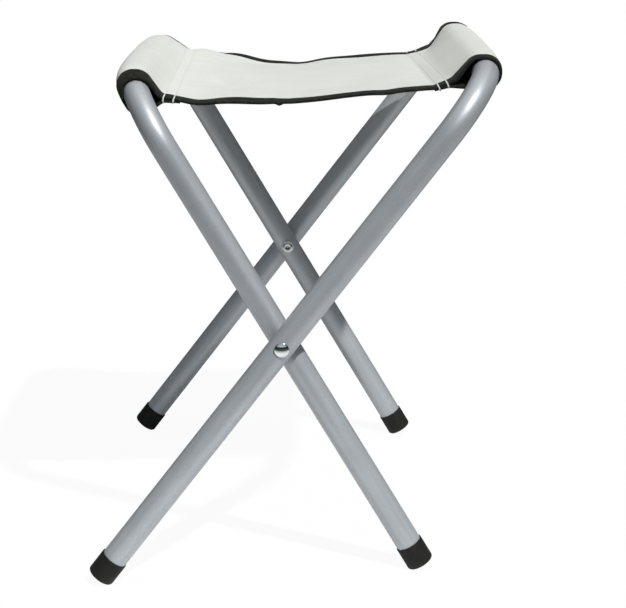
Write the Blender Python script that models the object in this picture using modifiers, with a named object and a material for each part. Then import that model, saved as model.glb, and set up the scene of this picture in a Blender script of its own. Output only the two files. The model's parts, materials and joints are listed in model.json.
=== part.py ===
"""Folding camp stool: two crossed U-bent steel tubes on rivets, carrying a canvas sling seat.

Metres, +Z up, feet on z = 0, front towards -Y. The outer frame's top bar is at +X and its feet are at
-X; the inner frame leans the other way and turns about the rivets, along Y, when the stool folds.
"""
import math

import bmesh
import bpy
from mathutils import Matrix, Vector

# Tubes and stance
TUBE_D = 0.019
TUBE_WALL = 0.001
BEND_R = 0.048              # centreline radius of the four bends
OUTER_SPACING = 0.360       # between the leg axes of the outer frame
OUTER_TOP = 0.239           # rivet axis to top bar axis, along the legs
INNER_TOP = 0.209
OUTER_LEAN = 38.3           # degrees from upright when the stool is open
INNER_LEAN = 29.8
PIVOT_HEIGHT = 0.1792       # rivet axis above the floor

# Rivet joint
SEAT_GAP = 0.0003           # left between pieces that rest on each other
SHANK_D = 0.006
HEAD_D = 0.0106
HEAD_H = 0.0024
HEAD_RIM = 0.0005           # height of the straight edge below the dome
CLINCH_D = 0.0084           # rolled hollow tail
CLINCH_H = 0.0014
TAIL_BORE_D = 0.0036
TAIL_BORE_DEPTH = 0.004
SPACER_D = 0.014
SPACER_T = 0.0009
WASHER_D = 0.0108
WASHER_T = 0.0008

# Rubber foot caps
CAP_LENGTH = 0.0185
CAP_FIT = 0.0002            # radial play on the tube
CAP_WALL = 0.0006
CAP_BASE = 0.003
CAP_ROUND = 0.0022
CAP_LIP = 0.0002            # chamfer at the mouth
FOOT_FLAT = 0.0009          # depth of the flat that each cap stands on

# Canvas sling; pairs are for the front and the rear edge
CLOTH_T = 0.0008
CLOTH_SETBACK = 0.0235      # leg axis of the inner frame to the cut edge of the cloth
OUTER_REACH = 0.036         # bar axis to the inboard edge of the doubled hem
INNER_REACH = 0.0335
OUTER_HEM_DROP = (0.0104, 0.0134)   # hem's inboard edge below the bar axis
INNER_HEM_DROP = (0.0092, 0.0024)
OUTER_HEM_ROOT = (0.0262, 0.0262)   # bar axis to where the sleeve rises from the doubled hem
INNER_HEM_ROOT = (0.0215, 0.0275)
OUTER_HEM_RISE = (0.0039, 0.0020)   # slope of the hem, from its inboard edge to its root
INNER_HEM_RISE = (0.0014, 0.0)
OUTER_FILLET = (0.009, 0.009)       # radius at the root
INNER_FILLET = (0.005, 0.012)
OUTER_BULGE = 0.003         # slack of the sleeve on the inboard side of its bar
INNER_BULGE = 0.001
OUTER_PUFF = 0.004          # slack outboard of the bar, half way between the bound edges
INNER_PUFF = 0.0055
OUTER_PUFF_RISE = 0.0006    # the same slack upwards
INNER_PUFF_RISE = 0.003
PUFF_POWER = 4              # how square the slack runs out towards the bound edges
SEAT_SAG = (0.0057, 0.0100)
SEAT_VALLEY = 0.40          # place of the lowest line, as a share of the way from inner to outer hem
SEAT_EASE = 1.5             # 1 for an even sag, more for one that is drawn in to the valley

# Binding tape folded over the front and rear edges
BIND_T = 0.0005
BIND_W = 0.0115             # on each face of the cloth
BIND_GAP = 0.00025          # tape to cloth, and tape to bar

# Facets
TUBE_BEVEL = 10             # bevel resolution, 24 sides
BEND_STEPS = 8
TURN_STEPS = 24
FILLET_STEPS = 4
DOME_STEPS = 5
LOOP_STEPS = 7
CLOTH_ROWS = 8
PANEL_STEPS = 16
TUBE_CREASE = 35.0          # degrees between faces past which an edge is shaded sharp
CLOTH_CREASE = 50.0

# Sizes that follow from the ones above
TUBE_R = TUBE_D / 2
INNER_SPACING = OUTER_SPACING - 2 * (TUBE_D + SPACER_T + 2 * SEAT_GAP)
HOLE_D = SHANK_D + 2 * SEAT_GAP
CAP_R = TUBE_R + CAP_FIT + CAP_WALL
BIND_OFFSET = CLOTH_T / 2 + BIND_GAP + BIND_T / 2
LOOP_R = TUBE_R + BIND_GAP + BIND_T / 2 + BIND_OFFSET
HEM_STEP = 2 * BIND_OFFSET + BIND_T + SEAT_GAP
EDGE = INNER_SPACING / 2 - CLOTH_SETBACK
UNBOUND_EDGE = EDGE - BIND_W
BOUND_EDGE = EDGE + BIND_GAP + BIND_T
OUTER_LEAN_RAD = math.radians(OUTER_LEAN)
INNER_LEAN_RAD = math.radians(INNER_LEAN)
SPACER_FACE = OUTER_SPACING / 2 - TUBE_R - SEAT_GAP
WASHER_FACE = INNER_SPACING / 2 - TUBE_R - SEAT_GAP
FLOOR_HALF = OUTER_SPACING
FLOOR_DEPTH = CAP_LENGTH


def leg_reach(lean):
    """Rivet axis to the end face of a foot cap, so that the cap's flat lies on the floor."""
    corner = (CAP_R - CAP_ROUND) * math.sin(lean) + CAP_ROUND
    return (PIVOT_HEIGHT + FOOT_FLAT - corner) / math.cos(lean) + CAP_ROUND


def pivot_x():
    """Place of the rivet axis that centres the stool's box over the origin."""
    rightmost = OUTER_TOP * math.sin(OUTER_LEAN_RAD) + OUTER_PUFF + LOOP_R + CLOTH_T / 2
    foot = (leg_reach(OUTER_LEAN_RAD) - CAP_ROUND) * math.sin(OUTER_LEAN_RAD)
    leftmost = -foot - (CAP_R - CAP_ROUND) * math.cos(OUTER_LEAN_RAD) - CAP_ROUND
    return -(leftmost + rightmost) / 2


PIVOT = Vector((pivot_x(), 0.0, PIVOT_HEIGHT))
OUTER_BAR = PIVOT + OUTER_TOP * Vector((math.sin(OUTER_LEAN_RAD), 0.0, math.cos(OUTER_LEAN_RAD)))
INNER_BAR = PIVOT + INNER_TOP * Vector((-math.sin(INNER_LEAN_RAD), 0.0, math.cos(INNER_LEAN_RAD)))


# Scene helpers
def new_collection(name):
    collection = bpy.data.collections.new(name)
    bpy.context.scene.collection.children.link(collection)
    return collection


def new_material(name, colour, roughness, metallic=0.0):
    material = bpy.data.materials.new(name)
    material.use_nodes = True
    shader = material.node_tree.nodes["Principled BSDF"]
    shader.inputs["Base Color"].default_value = (*colour, 1.0)
    shader.inputs["Roughness"].default_value = roughness
    shader.inputs["Metallic"].default_value = metallic
    return material


def add_part(name, mesh, material, frame):
    """Put a mesh into the stool's collection, placed in the axes of its frame's empty."""
    part = bpy.data.objects.new(name, mesh)
    PARTS.objects.link(part)
    part.parent = frame
    mesh.materials.append(material)
    return part


def smooth(mesh, crease):
    mesh.shade_smooth()
    mesh.set_sharp_from_angle(angle=math.radians(crease))


def hang_in_world_axes(part):
    """Keep a part's mesh upright, with its origin on the rivet axis, while its frame leans."""
    part.matrix_parent_inverse = part.parent.matrix_world.inverted() @ Matrix.Translation(PIVOT)


def new_frame(name, lean):
    empty = bpy.data.objects.new(name, None)
    empty.location = PIVOT
    empty.rotation_euler.y = lean
    empty.empty_display_size = TUBE_D
    PARTS.objects.link(empty)
    bpy.context.view_layer.update()
    return empty


def add_cutter(name, mesh):
    cutter = bpy.data.objects.new(name, mesh)
    cutter.display_type = "WIRE"
    cutter.hide_render = True
    CUTTERS.objects.link(cutter)
    return cutter


def cut(part, cutter):
    boolean = part.modifiers.new(f"cut_{cutter.name}", "BOOLEAN")
    boolean.operation = "DIFFERENCE"
    boolean.solver = "EXACT"
    boolean.object = cutter


def turned(name, profile, material, frame):
    """Solid of revolution about local Z from (radius, height) points that run down its outer side."""
    mesh = bpy.data.meshes.new(name)
    points = [(radius, 0.0, height) for radius, height in profile]
    mesh.from_pydata(points, [(i, i + 1) for i in range(len(points) - 1)], [])
    part = add_part(name, mesh, material, frame)
    screw = part.modifiers.new("turn", "SCREW")
    screw.steps = screw.render_steps = TURN_STEPS
    screw.use_merge_vertices = True
    screw.merge_threshold = 1e-6
    screw.use_smooth_shade = False
    return part


def arc(centre, radius, start, end, steps):
    """Points round a centre, from one angle in degrees to another, both ends included."""
    angles = [math.radians(start + (end - start) * i / steps) for i in range(steps + 1)]
    return [(centre[0] + radius * math.cos(a), centre[1] + radius * math.sin(a)) for a in angles]


# Frames
def u_path(spacing, top, foot):
    """Centreline of a U frame in its own axes, (y, z) from the front foot to the rear one."""
    half = spacing / 2
    bend = arc((half - BEND_R, top - BEND_R), BEND_R, 90, 0, BEND_STEPS)
    rear = bend + [(half, HOLE_D), (half, -HOLE_D), (half, -foot)]
    front = [(-y, z) for y, z in reversed(rear)]
    return front + rear


def bent_tube(name, spacing, top, lean, frame):
    """Hollow U-bent tube, drilled for the rivets, with its ends just clear of the caps' bases."""
    foot = leg_reach(lean) - CAP_BASE - SEAT_GAP
    path = u_path(spacing, top, foot)
    curve = bpy.data.curves.new(name, "CURVE")
    curve.dimensions = "3D"
    curve.bevel_depth = TUBE_R
    curve.bevel_resolution = TUBE_BEVEL
    spline = curve.splines.new("POLY")
    spline.points.add(len(path) - 1)
    for point, (y, z) in zip(spline.points, path):
        point.co = (0.0, y, z, 1.0)
    guide = bpy.data.objects.new(f"{name}_guide", curve)
    CUTTERS.objects.link(guide)
    skin = bpy.data.meshes.new_from_object(guide.evaluated_get(bpy.context.evaluated_depsgraph_get()))
    bpy.data.objects.remove(guide)
    bpy.data.curves.remove(curve)
    skin.name = name
    smooth(skin, TUBE_CREASE)
    tube = add_part(name, skin, STEEL, frame)
    wall = tube.modifiers.new("wall", "SOLIDIFY")
    wall.thickness = TUBE_WALL
    wall.offset = -1.0
    cut(tube, RIVET_BORE)
    return tube


def foot_cap(name, spacing, lean, side, frame):
    """Rubber cup over a tube end, rounded at its base and flat where it meets the floor."""
    reach = leg_reach(lean)
    mouth = CAP_LENGTH - reach
    bore = TUBE_R + CAP_FIT
    base_round = arc((CAP_R - CAP_ROUND, CAP_ROUND - reach), CAP_ROUND, 0, -90, FILLET_STEPS)
    profile = [(0.0, CAP_BASE - reach), (bore, CAP_BASE - reach), (bore, mouth), (CAP_R - CAP_LIP, mouth)]
    profile += [(CAP_R, mouth - CAP_LIP)] + base_round + [(0.0, -reach)]
    cap = turned(name, profile, RUBBER, frame)
    cap.location.y = side * spacing / 2
    cut(cap, FLOOR)
    return cap


# Rivet joint, built along local Z with the head up, and laid along Y with the head outwards
def outward(part, side, distance):
    part.rotation_euler.x = -side * math.pi / 2
    part.location.y = side * distance


def rivet(name, side, frame):
    """Semi-tubular rivet: domed head, plain shank and a rolled tail with its bore still open."""
    head_seat = SEAT_GAP
    tail_seat = -(2 * TUBE_D + SPACER_T + WASHER_T + 4 * SEAT_GAP)
    dome_r = ((HEAD_D / 2) ** 2 + (HEAD_H - HEAD_RIM) ** 2) / (2 * (HEAD_H - HEAD_RIM))
    dome_centre = head_seat + HEAD_H - dome_r
    rim_angle = math.degrees(math.asin((head_seat + HEAD_RIM - dome_centre) / dome_r))
    dome = arc((0.0, dome_centre), dome_r, 90, rim_angle, DOME_STEPS)
    roll_r = CLINCH_H / 2
    roll = arc((CLINCH_D / 2 - roll_r, tail_seat - roll_r), roll_r, 90, -90, DOME_STEPS)
    tail_end = tail_seat - CLINCH_H
    profile = [(0.0, dome[0][1])] + dome[1:] + [(HEAD_D / 2, head_seat), (SHANK_D / 2, head_seat)]
    profile += [(SHANK_D / 2, tail_seat)] + roll
    profile += [(TAIL_BORE_D / 2, tail_end), (TAIL_BORE_D / 2, tail_end + TAIL_BORE_DEPTH)]
    profile += [(0.0, tail_end + TAIL_BORE_DEPTH)]
    part = turned(name, profile, PLATED, frame)
    outward(part, side, OUTER_SPACING / 2 + TUBE_R)
    return part


def ring(name, diameter, thickness, material, side, distance, frame):
    """Flat washer on the rivet's shank, with its outer face at a distance from the stool's middle."""
    outer, inner = diameter / 2, HOLE_D / 2
    profile = [(inner, 0.0), (outer, 0.0), (outer, -thickness), (inner, -thickness), (inner, 0.0)]
    part = turned(name, profile, material, frame)
    outward(part, side, distance)
    return part


# Canvas
OUTER_SLEEVE = {
    "bar": OUTER_BAR, "inboard": -1, "lean": OUTER_LEAN_RAD, "spacing": OUTER_SPACING,
    "reach": OUTER_REACH, "bulge": OUTER_BULGE, "puff": (OUTER_PUFF, OUTER_PUFF_RISE),
    "hem": (OUTER_HEM_DROP, OUTER_HEM_ROOT, OUTER_HEM_RISE, OUTER_FILLET),
}
INNER_SLEEVE = {
    "bar": INNER_BAR, "inboard": 1, "lean": INNER_LEAN_RAD, "spacing": INNER_SPACING,
    "reach": INNER_REACH, "bulge": INNER_BULGE, "puff": (INNER_PUFF, INNER_PUFF_RISE),
    "hem": (INNER_HEM_DROP, INNER_HEM_ROOT, INNER_HEM_RISE, INNER_FILLET),
}


def belt(pegs):
    """Points and left-hand normals of a strip led past pegs, each a (centre, radius, turn).

    Turn is +1 for a strip that passes anticlockwise and -1 for clockwise; a peg without radius is a
    point on the strip. The strip starts and ends at the first and last pegs.
    """
    headings = []
    for (centre, radius, turn), (after, after_radius, after_turn) in zip(pegs, pegs[1:]):
        step = after - centre
        swing = math.asin((after_turn * after_radius - turn * radius) / step.length)
        headings.append(math.atan2(step.y, step.x) - swing)
    strip = []
    for index, (centre, radius, turn) in enumerate(pegs):
        arriving = headings[max(index - 1, 0)]
        leaving = headings[min(index, len(headings) - 1)]
        sweep = turn * ((leaving - arriving) * turn % (2 * math.pi))
        steps = LOOP_STEPS if radius else 0
        for i in range(steps + 1):
            heading = arriving + sweep * (i / steps if steps else 0.0)
            left = Vector((-math.sin(heading), math.cos(heading)))
            strip.append((centre - turn * radius * left, left))
    return strip


def between(pair, y):
    """Value at a distance along the bars, from a front and a rear one."""
    share = (y + EDGE) / (2 * EDGE)
    return pair[0] + (pair[1] - pair[0]) * share


def bend_drop(spacing):
    """How far a bend's underside lies below its bar's at the bound edge of the cloth."""
    overhang = max(0.0, BOUND_EDGE - (spacing / 2 - BEND_R))
    return max(BEND_R - math.sqrt((BEND_R - TUBE_R) ** 2 - overhang ** 2) - TUBE_R, SEAT_GAP)


def bend_fall(spacing, y):
    """How far the cloth on top of a bar has followed its bend down, at a distance along the bar."""
    overhang = max(0.0, abs(y) - (spacing / 2 - BEND_R))
    radius = BEND_R + LOOP_R
    return radius - math.sqrt(radius ** 2 - overhang ** 2)


def sleeve_strip(sleeve, y):
    """Section of a sleeve: hem, over the bar, round it and back under the hem.

    It is drawn in (u, v) about the bar, u inboard and v up, and returned as (x, z) points and normals.
    """
    hem_drop, root, hem_rise, fillet = (between(pair, y) for pair in sleeve["hem"])
    reach, bulge = sleeve["reach"], sleeve["bulge"]
    hem = Vector((reach, -hem_drop))
    fold_back = Vector((0.0, -HEM_STEP))
    at_root = Vector((root, hem.y + hem_rise))
    slack = max(0.0, 1 - abs(y / EDGE) ** PUFF_POWER)
    puff, puff_rise = (slack * amount for amount in sleeve["puff"])
    down = Vector((math.sin(sleeve["lean"]), -math.cos(sleeve["lean"])))
    over = down * bend_fall(sleeve["spacing"], y)
    under = down * bend_drop(sleeve["spacing"])
    pegs = [
        (hem, 0.0, 1),
        (at_root + Vector((0.0, fillet)), fillet, -1),
        (over + Vector((bulge, puff_rise)), LOOP_R, 1),
        (over + Vector((-puff, puff_rise)), LOOP_R, 1),
        (under + Vector((-puff, 0.0)), LOOP_R, 1),
        (at_root + fold_back, 0.0, 1),
        (hem + fold_back, 0.0, 1),
    ]
    to_world = Vector((sleeve["inboard"], 1.0))
    origin = Vector((sleeve["bar"].x, sleeve["bar"].z))
    return [(origin + point * to_world, normal * to_world) for point, normal in belt(pegs)]


def outer_strip(y):
    return sleeve_strip(OUTER_SLEEVE, y)


def inner_strip(y):
    return sleeve_strip(INNER_SLEEVE, y)


def panel_strip(y):
    """Section of the seat between the two hems, hollowed along the line where it folds."""
    start = inner_strip(y)[0][0] + Vector((SEAT_GAP, 0.0))
    end = outer_strip(y)[0][0] - Vector((SEAT_GAP, 0.0))
    skew = math.log(0.5) / math.log(SEAT_VALLEY)
    points = []
    for i in range(PANEL_STEPS + 1):
        share = i / PANEL_STEPS
        sag = between(SEAT_SAG, y) * math.sin(math.pi * min(share ** skew, 1.0)) ** SEAT_EASE
        points.append(start.lerp(end, share) - Vector((0.0, sag)))
    strip = []
    for i, point in enumerate(points):
        along = points[min(i + 1, PANEL_STEPS)] - points[max(i - 1, 0)]
        strip.append((point, Vector((-along.y, along.x)).normalized()))
    return strip


def loft(name, sections, thickness, material, frame):
    """Sheet through a row of sections of equally many points, thickened on both faces."""
    form = bmesh.new()
    rows = [[form.verts.new(point - PIVOT) for point in section] for section in sections]
    for row, after in zip(rows, rows[1:]):
        for i in range(len(row) - 1):
            form.faces.new((row[i], row[i + 1], after[i + 1], after[i]))
    mesh = bpy.data.meshes.new(name)
    form.to_mesh(mesh)
    form.free()
    smooth(mesh, CLOTH_CREASE)
    part = add_part(name, mesh, material, frame)
    hang_in_world_axes(part)
    solid = part.modifiers.new("thickness", "SOLIDIFY")
    solid.thickness = thickness
    solid.offset = 0.0
    solid.use_even_offset = True
    return part


def canvas(name, strip_at, frame):
    """Canvas from the front edge to the rear one, through the sections that strip_at gives."""
    stations = [UNBOUND_EDGE * (2 * i / CLOTH_ROWS - 1) for i in range(CLOTH_ROWS + 1)]
    stations = [-EDGE] + stations + [EDGE]
    sections = [[Vector((p.x, y, p.y)) for p, _ in strip_at(y)] for y in stations]
    return loft(name, sections, CLOTH_T, CANVAS, frame)


def binding(name, strip_at, side, frame):
    """Tape folded over one edge of the canvas, along the strip that the edge follows."""
    fold = side * (EDGE + BIND_GAP + BIND_T / 2)
    hem = side * UNBOUND_EDGE
    sections = []
    for (at_hem, normal), (at_fold, fold_normal) in zip(strip_at(hem), strip_at(fold)):
        corners = [
            (hem, at_hem + normal * BIND_OFFSET),
            (fold, at_fold + fold_normal * BIND_OFFSET),
            (fold, at_fold - fold_normal * BIND_OFFSET),
            (hem, at_hem - normal * BIND_OFFSET),
        ]
        sections.append([Vector((p.x, y, p.y)) for y, p in corners])
    return loft(name, sections, BIND_T, TAPE, frame)


def box_mesh(name, low, high):
    form = bmesh.new()
    size = high - low
    placed = Matrix.Translation((low + high) / 2) @ Matrix.Diagonal((*size, 1.0))
    bmesh.ops.create_cube(form, size=1.0, matrix=placed)
    mesh = bpy.data.meshes.new(name)
    form.to_mesh(mesh)
    form.free()
    return mesh


def bore_mesh(name):
    """Long drill along the rivet axis, through all four legs."""
    form = bmesh.new()
    laid = Matrix.Translation(PIVOT) @ Matrix.Rotation(math.pi / 2, 4, "X")
    bmesh.ops.create_cone(form, cap_ends=True, segments=TURN_STEPS, radius1=HOLE_D / 2,
                          radius2=HOLE_D / 2, depth=OUTER_SPACING + 2 * TUBE_D, matrix=laid)
    mesh = bpy.data.meshes.new(name)
    form.to_mesh(mesh)
    form.free()
    return mesh


for stale in list(bpy.data.objects):
    bpy.data.objects.remove(stale)
PARTS = new_collection("camp_stool")
CUTTERS = new_collection("camp_stool_cutters")

STEEL = new_material("grey_painted_steel", (0.42, 0.44, 0.46), 0.38, 0.6)
PLATED = new_material("zinc_plated_steel", (0.72, 0.72, 0.70), 0.25, 1.0)
RUBBER = new_material("black_rubber", (0.018, 0.018, 0.017), 0.65)
NYLON = new_material("white_nylon", (0.75, 0.75, 0.72), 0.45)
CANVAS = new_material("off_white_canvas", (0.76, 0.77, 0.73), 0.9)
TAPE = new_material("black_binding_tape", (0.025, 0.026, 0.023), 0.8)

OUTER_FRAME = new_frame("outer_frame_pivot", OUTER_LEAN_RAD)
INNER_FRAME = new_frame("inner_frame_pivot", -INNER_LEAN_RAD)
RIVET_BORE = add_cutter("rivet_bore", bore_mesh("rivet_bore"))
FLOOR = add_cutter("floor", box_mesh("floor", Vector((-FLOOR_HALF, -FLOOR_HALF, -FLOOR_DEPTH)),
                                     Vector((FLOOR_HALF, FLOOR_HALF, 0.0))))

bent_tube("outer_tube", OUTER_SPACING, OUTER_TOP, OUTER_LEAN_RAD, OUTER_FRAME)
bent_tube("inner_tube", INNER_SPACING, INNER_TOP, INNER_LEAN_RAD, INNER_FRAME)
canvas("seat_panel", panel_strip, OUTER_FRAME)
canvas("outer_sleeve", outer_strip, OUTER_FRAME)
canvas("inner_sleeve", inner_strip, INNER_FRAME)

for end, side in (("front", -1), ("rear", 1)):
    foot_cap(f"outer_foot_{end}", OUTER_SPACING, OUTER_LEAN_RAD, side, OUTER_FRAME)
    foot_cap(f"inner_foot_{end}", INNER_SPACING, INNER_LEAN_RAD, side, INNER_FRAME)
    rivet(f"rivet_{end}", side, OUTER_FRAME)
    ring(f"spacer_{end}", SPACER_D, SPACER_T, NYLON, side, SPACER_FACE, OUTER_FRAME)
    ring(f"tail_washer_{end}", WASHER_D, WASHER_T, PLATED, side, WASHER_FACE, OUTER_FRAME)
    binding(f"panel_binding_{end}", panel_strip, side, OUTER_FRAME)
    binding(f"outer_sleeve_binding_{end}", outer_strip, side, OUTER_FRAME)
    binding(f"inner_sleeve_binding_{end}", inner_strip, side, INNER_FRAME)
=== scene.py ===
"""Looks of a folding camp stool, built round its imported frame.

Metres, +Z up, feet on z = 0, front towards -Y. Every piece repeats the place and size of the node that it
stands for, with finer faces, sewn cloth and procedural materials.
"""
import json
import math

import bmesh
import bpy
import numpy as np
from mathutils import Matrix, Vector, noise


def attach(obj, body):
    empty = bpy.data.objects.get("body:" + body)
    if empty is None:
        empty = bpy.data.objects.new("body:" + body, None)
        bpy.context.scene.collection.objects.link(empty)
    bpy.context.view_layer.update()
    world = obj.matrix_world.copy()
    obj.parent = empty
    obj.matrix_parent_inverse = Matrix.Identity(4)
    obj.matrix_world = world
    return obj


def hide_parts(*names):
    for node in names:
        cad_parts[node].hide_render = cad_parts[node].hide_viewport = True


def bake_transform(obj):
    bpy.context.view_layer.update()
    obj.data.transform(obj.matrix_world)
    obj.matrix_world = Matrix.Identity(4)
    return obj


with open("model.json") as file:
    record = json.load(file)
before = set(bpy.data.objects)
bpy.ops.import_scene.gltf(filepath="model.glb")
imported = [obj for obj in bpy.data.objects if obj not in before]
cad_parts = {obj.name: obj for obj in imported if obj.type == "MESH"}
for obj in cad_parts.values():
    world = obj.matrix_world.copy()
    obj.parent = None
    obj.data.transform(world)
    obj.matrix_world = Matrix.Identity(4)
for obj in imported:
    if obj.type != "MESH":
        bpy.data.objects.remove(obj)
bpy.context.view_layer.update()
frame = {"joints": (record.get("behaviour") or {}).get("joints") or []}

# Frames; top and reach run up and down the legs from the rivets
PIVOT = Vector(frame["joints"][0]["pos_m"])
OUTER = {"body": "outer_frame", "lean": math.radians(38.3), "spacing": 0.360, "top": 0.239, "reach": 0.22249}
INNER = {"body": "inner_frame", "lean": -math.radians(29.8), "spacing": 0.319, "top": 0.209, "reach": 0.20257}
TUBE_R = 0.0095
TUBE_WALL = 0.001
BEND_R = 0.048
HOLE_R = 0.0033
SEAT_GAP = 0.0003
TUBE_SIDES = 48
TUBE_CREASE = 40.0
DRILL_SIDES = 40

# Sections along a tube: below and above a rivet hole, round a bend and along the bar, and closer by the hole
LOW_STATIONS, HIGH_STATIONS, BEND_STEPS, BAR_STATIONS = 26, 22, 30, 28
HOLE_ZONE, HOLE_CLEAR, HOLE_STEP = 0.008, 0.010, 0.001

# Foot caps
CAP_R = 0.0103
CAP_BORE = 0.0097
CAP_LENGTH = 0.0185
CAP_BASE = 0.003
CAP_ROUND = 0.0022
CAP_LIP = 0.0003
CAP_CREASE = 30.0

# Rivet joints
HEAD_R, HEAD_H, HEAD_RIM = 0.0053, 0.0024, 0.0005
SHANK_R = 0.003
CLINCH_R, CLINCH_H = 0.0042, 0.0014
TAIL_BORE_R, TAIL_BORE_DEPTH = 0.0018, 0.004
SPACER_R, SPACER_T = 0.007, 0.0009
WASHER_R, WASHER_T = 0.0054, 0.0008
RING_EDGE = 0.00012
TURN_SIDES = 64
TURN_CREASE = 38.0

# Canvas; a hem's two layers are closer together inside its mouth than at the edge
CLOTH_T = 0.0008
CLOTH_DEPTH = 0.272
EDGE = CLOTH_DEPTH / 2
CLOTH_CREASE = 60.0
WEAVE_PITCH = 0.00062
# Painted shade on the canvas's back: the same cloth, greyed as if it lay in shade under the seat
BACK_PAINTED_SHADE = (0.40, 0.40, 0.40, 1.0)
LOOP_R = 0.0109
PEG_STEPS = 24
HEM_STEP, HEM_PINCH, HEM_END = 0.0026, 0.0017, 0.0017
HEM_MOUTH = 0.02

# Seat between the hems: sag at its front and rear edge, place and ease of its hollow, lift at mid depth
SEAT_SAG = (0.0057, 0.0100)
SEAT_VALLEY = 0.40
SEAT_EASE = 1.5
SEAT_LEVEL = 0.3

# Cloth on each bar; pairs are for its front and rear edge, but puff is outwards and up
OUTER.update(
    hem_reach=(0.036, 0.0445), hem_root=(0.0262, 0.0262), hem_rise=(0.0039, 0.0020),
    hem_drop=(0.0104, 0.0134), fillet=(0.009, 0.009), bulge=0.003, ease=0.009, puff=(0.0040, 0.0006),
    inboard=-1, rows=((0.0272, 0.0341), (0.0334, 0.0419)),
)
INNER.update(
    hem_reach=(0.0335, 0.0335), hem_root=(0.0215, 0.0275), hem_rise=(0.0014, 0.0),
    hem_drop=(0.0092, 0.0024), fillet=(0.005, 0.012), bulge=0.001, ease=0.004, puff=(0.0055, 0.0030),
    inboard=1, rows=((0.0220, 0.0220), (0.0292, 0.0292)),
)

# Grid of the cloth: points along its section, from the inner hem to the outer one, and rows across it
SLEEVE_POINTS = 110
PANEL_POINTS = 130
CLOTH_ROWS = 104
EDGE_ROWS = 5
SOFTEN = 9
BACK_UV = 1.0

# Upper and lower layer of each sleeve, as places along the section
LAYER_POINTS = SLEEVE_POINTS // 2
OUTER_START = SLEEVE_POINTS + PANEL_POINTS
INNER["layers"] = np.arange(LAYER_POINTS, SLEEVE_POINTS), np.arange(LAYER_POINTS)
OUTER["layers"] = OUTER_START + np.arange(LAYER_POINTS), OUTER_START + np.arange(LAYER_POINTS, SLEEVE_POINTS)

# Dips and curls of the bound edges: end, x, width along x, width in from the edge, height
EDGE_SET = (
    (-1, -0.068, 0.0130, 0.050, -0.0022), (-1, -0.036, 0.0170, 0.050, 0.0019),
    (-1, -0.036, 0.0170, 0.009, -0.0016), (-1, -0.0085, 0.0018, 0.005, -0.0014),
    (-1, 0.044, 0.0200, 0.050, 0.0008), (-1, 0.068, 0.0080, 0.030, -0.0008),
    (1, -0.073, 0.0220, 0.060, 0.0054), (1, -0.085, 0.0140, 0.016, -0.0050),
    (1, -0.068, 0.0140, 0.016, -0.0054), (1, -0.045, 0.0150, 0.030, 0.0018),
    (1, -0.025, 0.0250, 0.012, 0.0020), (1, -0.025, 0.0250, 0.050, -0.0020),
    (1, 0.006, 0.0130, 0.040, -0.0014), (1, 0.028, 0.0150, 0.030, 0.0008),
    (1, 0.090, 0.0240, 0.060, -0.0015), (1, 0.058, 0.0160, 0.012, 0.0012),
    (1, 0.058, 0.0160, 0.050, -0.0012), (1, 0.116, 0.0090, 0.011, 0.0030),
)

# Pulls in the seat: x, y, slant in degrees, half width, half length, height; they fade out towards the hems
WRINKLES = (
    (-0.054, -0.045, -70.0, 0.010, 0.050, -0.0024), (-0.037, -0.048, -73.0, 0.009, 0.070, 0.0026),
    (-0.027, -0.045, -73.0, 0.007, 0.055, -0.0014), (-0.018, -0.048, -74.0, 0.008, 0.060, 0.0015),
    (-0.074, 0.012, -22.0, 0.006, 0.020, -0.0007), (-0.079, -0.020, -22.0, 0.006, 0.018, -0.0006),
    (0.030, -0.070, -8.0, 0.018, 0.055, -0.0008), (0.055, 0.050, 24.0, 0.020, 0.060, 0.0007),
)
WRINKLE_FADE = 0.03

# Unevenness of the whole cloth: height, share of it on the sleeves, and steps through the noise
UNEVEN, UNEVEN_SLEEVE = 0.00035, 0.55
UNEVEN_ALONG, UNEVEN_ACROSS, UNEVEN_SLICE = 0.045, 0.06, 3.7

# Binding tape, thinner towards its ends
BIND_W = 0.0115
BIND_IN, BIND_OUT = 0.00042, 0.00115
TAPER_T = 0.0005
TAPER_IN = 0.8
TAPER_POINTS = 9
NOSE_POINTS = 9
RIB_PITCH, YARN_PITCH = 0.00085, 0.0005

# Seams, and bars of thread over the tape
THREAD_R = 0.0003
THREAD_SIDES = 6
THREAD_STEEP = 0.8
TWIST_PITCH = 0.0007
STITCH_PITCH = 0.0036
STITCH_SHARE = 0.78
SEAM_W = 0.0016
SEAM_DEPTH = 0.00015
SEAM_SEARCH = 0.6
BAR_STEP = 0.0005
BAR_SLANT = 0.0009
BAR_NOSES = (0.3, 0.7)
BAR_LIFT = BIND_OUT + 0.6 * THREAD_R

# One stitch: share of its length, and height of the thread's middle over the cloth in thread radii
STITCH_LINE = ((0.0, -1.2), (0.12, -0.055), (0.35, -0.1), (0.65, -0.1), (0.88, -0.055), (1.0, -1.2))

# Stage, fitted to the photograph; angles in degrees
WHITE = (1.0, 1.0, 1.0, 1.0)
FLOOR_HALF = 30.0
FLOOR_GLOW = 0.94
SUN_ENERGY, SUN_SPREAD = 3.0, 1.5
SUN_WAY = (-0.43, 0.66, -1.0)
PHOTO_WIDTH, FOCAL_PIXELS = 626.0, 1742.0
SENSOR = 36.0
CAMERA_PLACE = (0.01605, -1.37897, 0.51601)
CAMERA_TURN = (-0.05, 14.31, -0.86)
CAMERA_SHIFT = (-0.00335, -0.0003)

for side in (OUTER, INNER):
    side["place"] = Matrix.Translation(PIVOT) @ Matrix.Rotation(side["lean"], 4, "Y")
    side["bar"] = side["place"] @ Vector((0.0, 0.0, side["top"]))


# Materials
def material(name, **sockets):
    """New material with constant values on its shader; returns it with its tree and shader."""
    made = bpy.data.materials.new(name)
    made.use_nodes = True
    shader = made.node_tree.nodes["Principled BSDF"]
    for key, value in sockets.items():
        shader.inputs[key.replace("_", " ")].default_value = value
    return made, made.node_tree, shader


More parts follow.
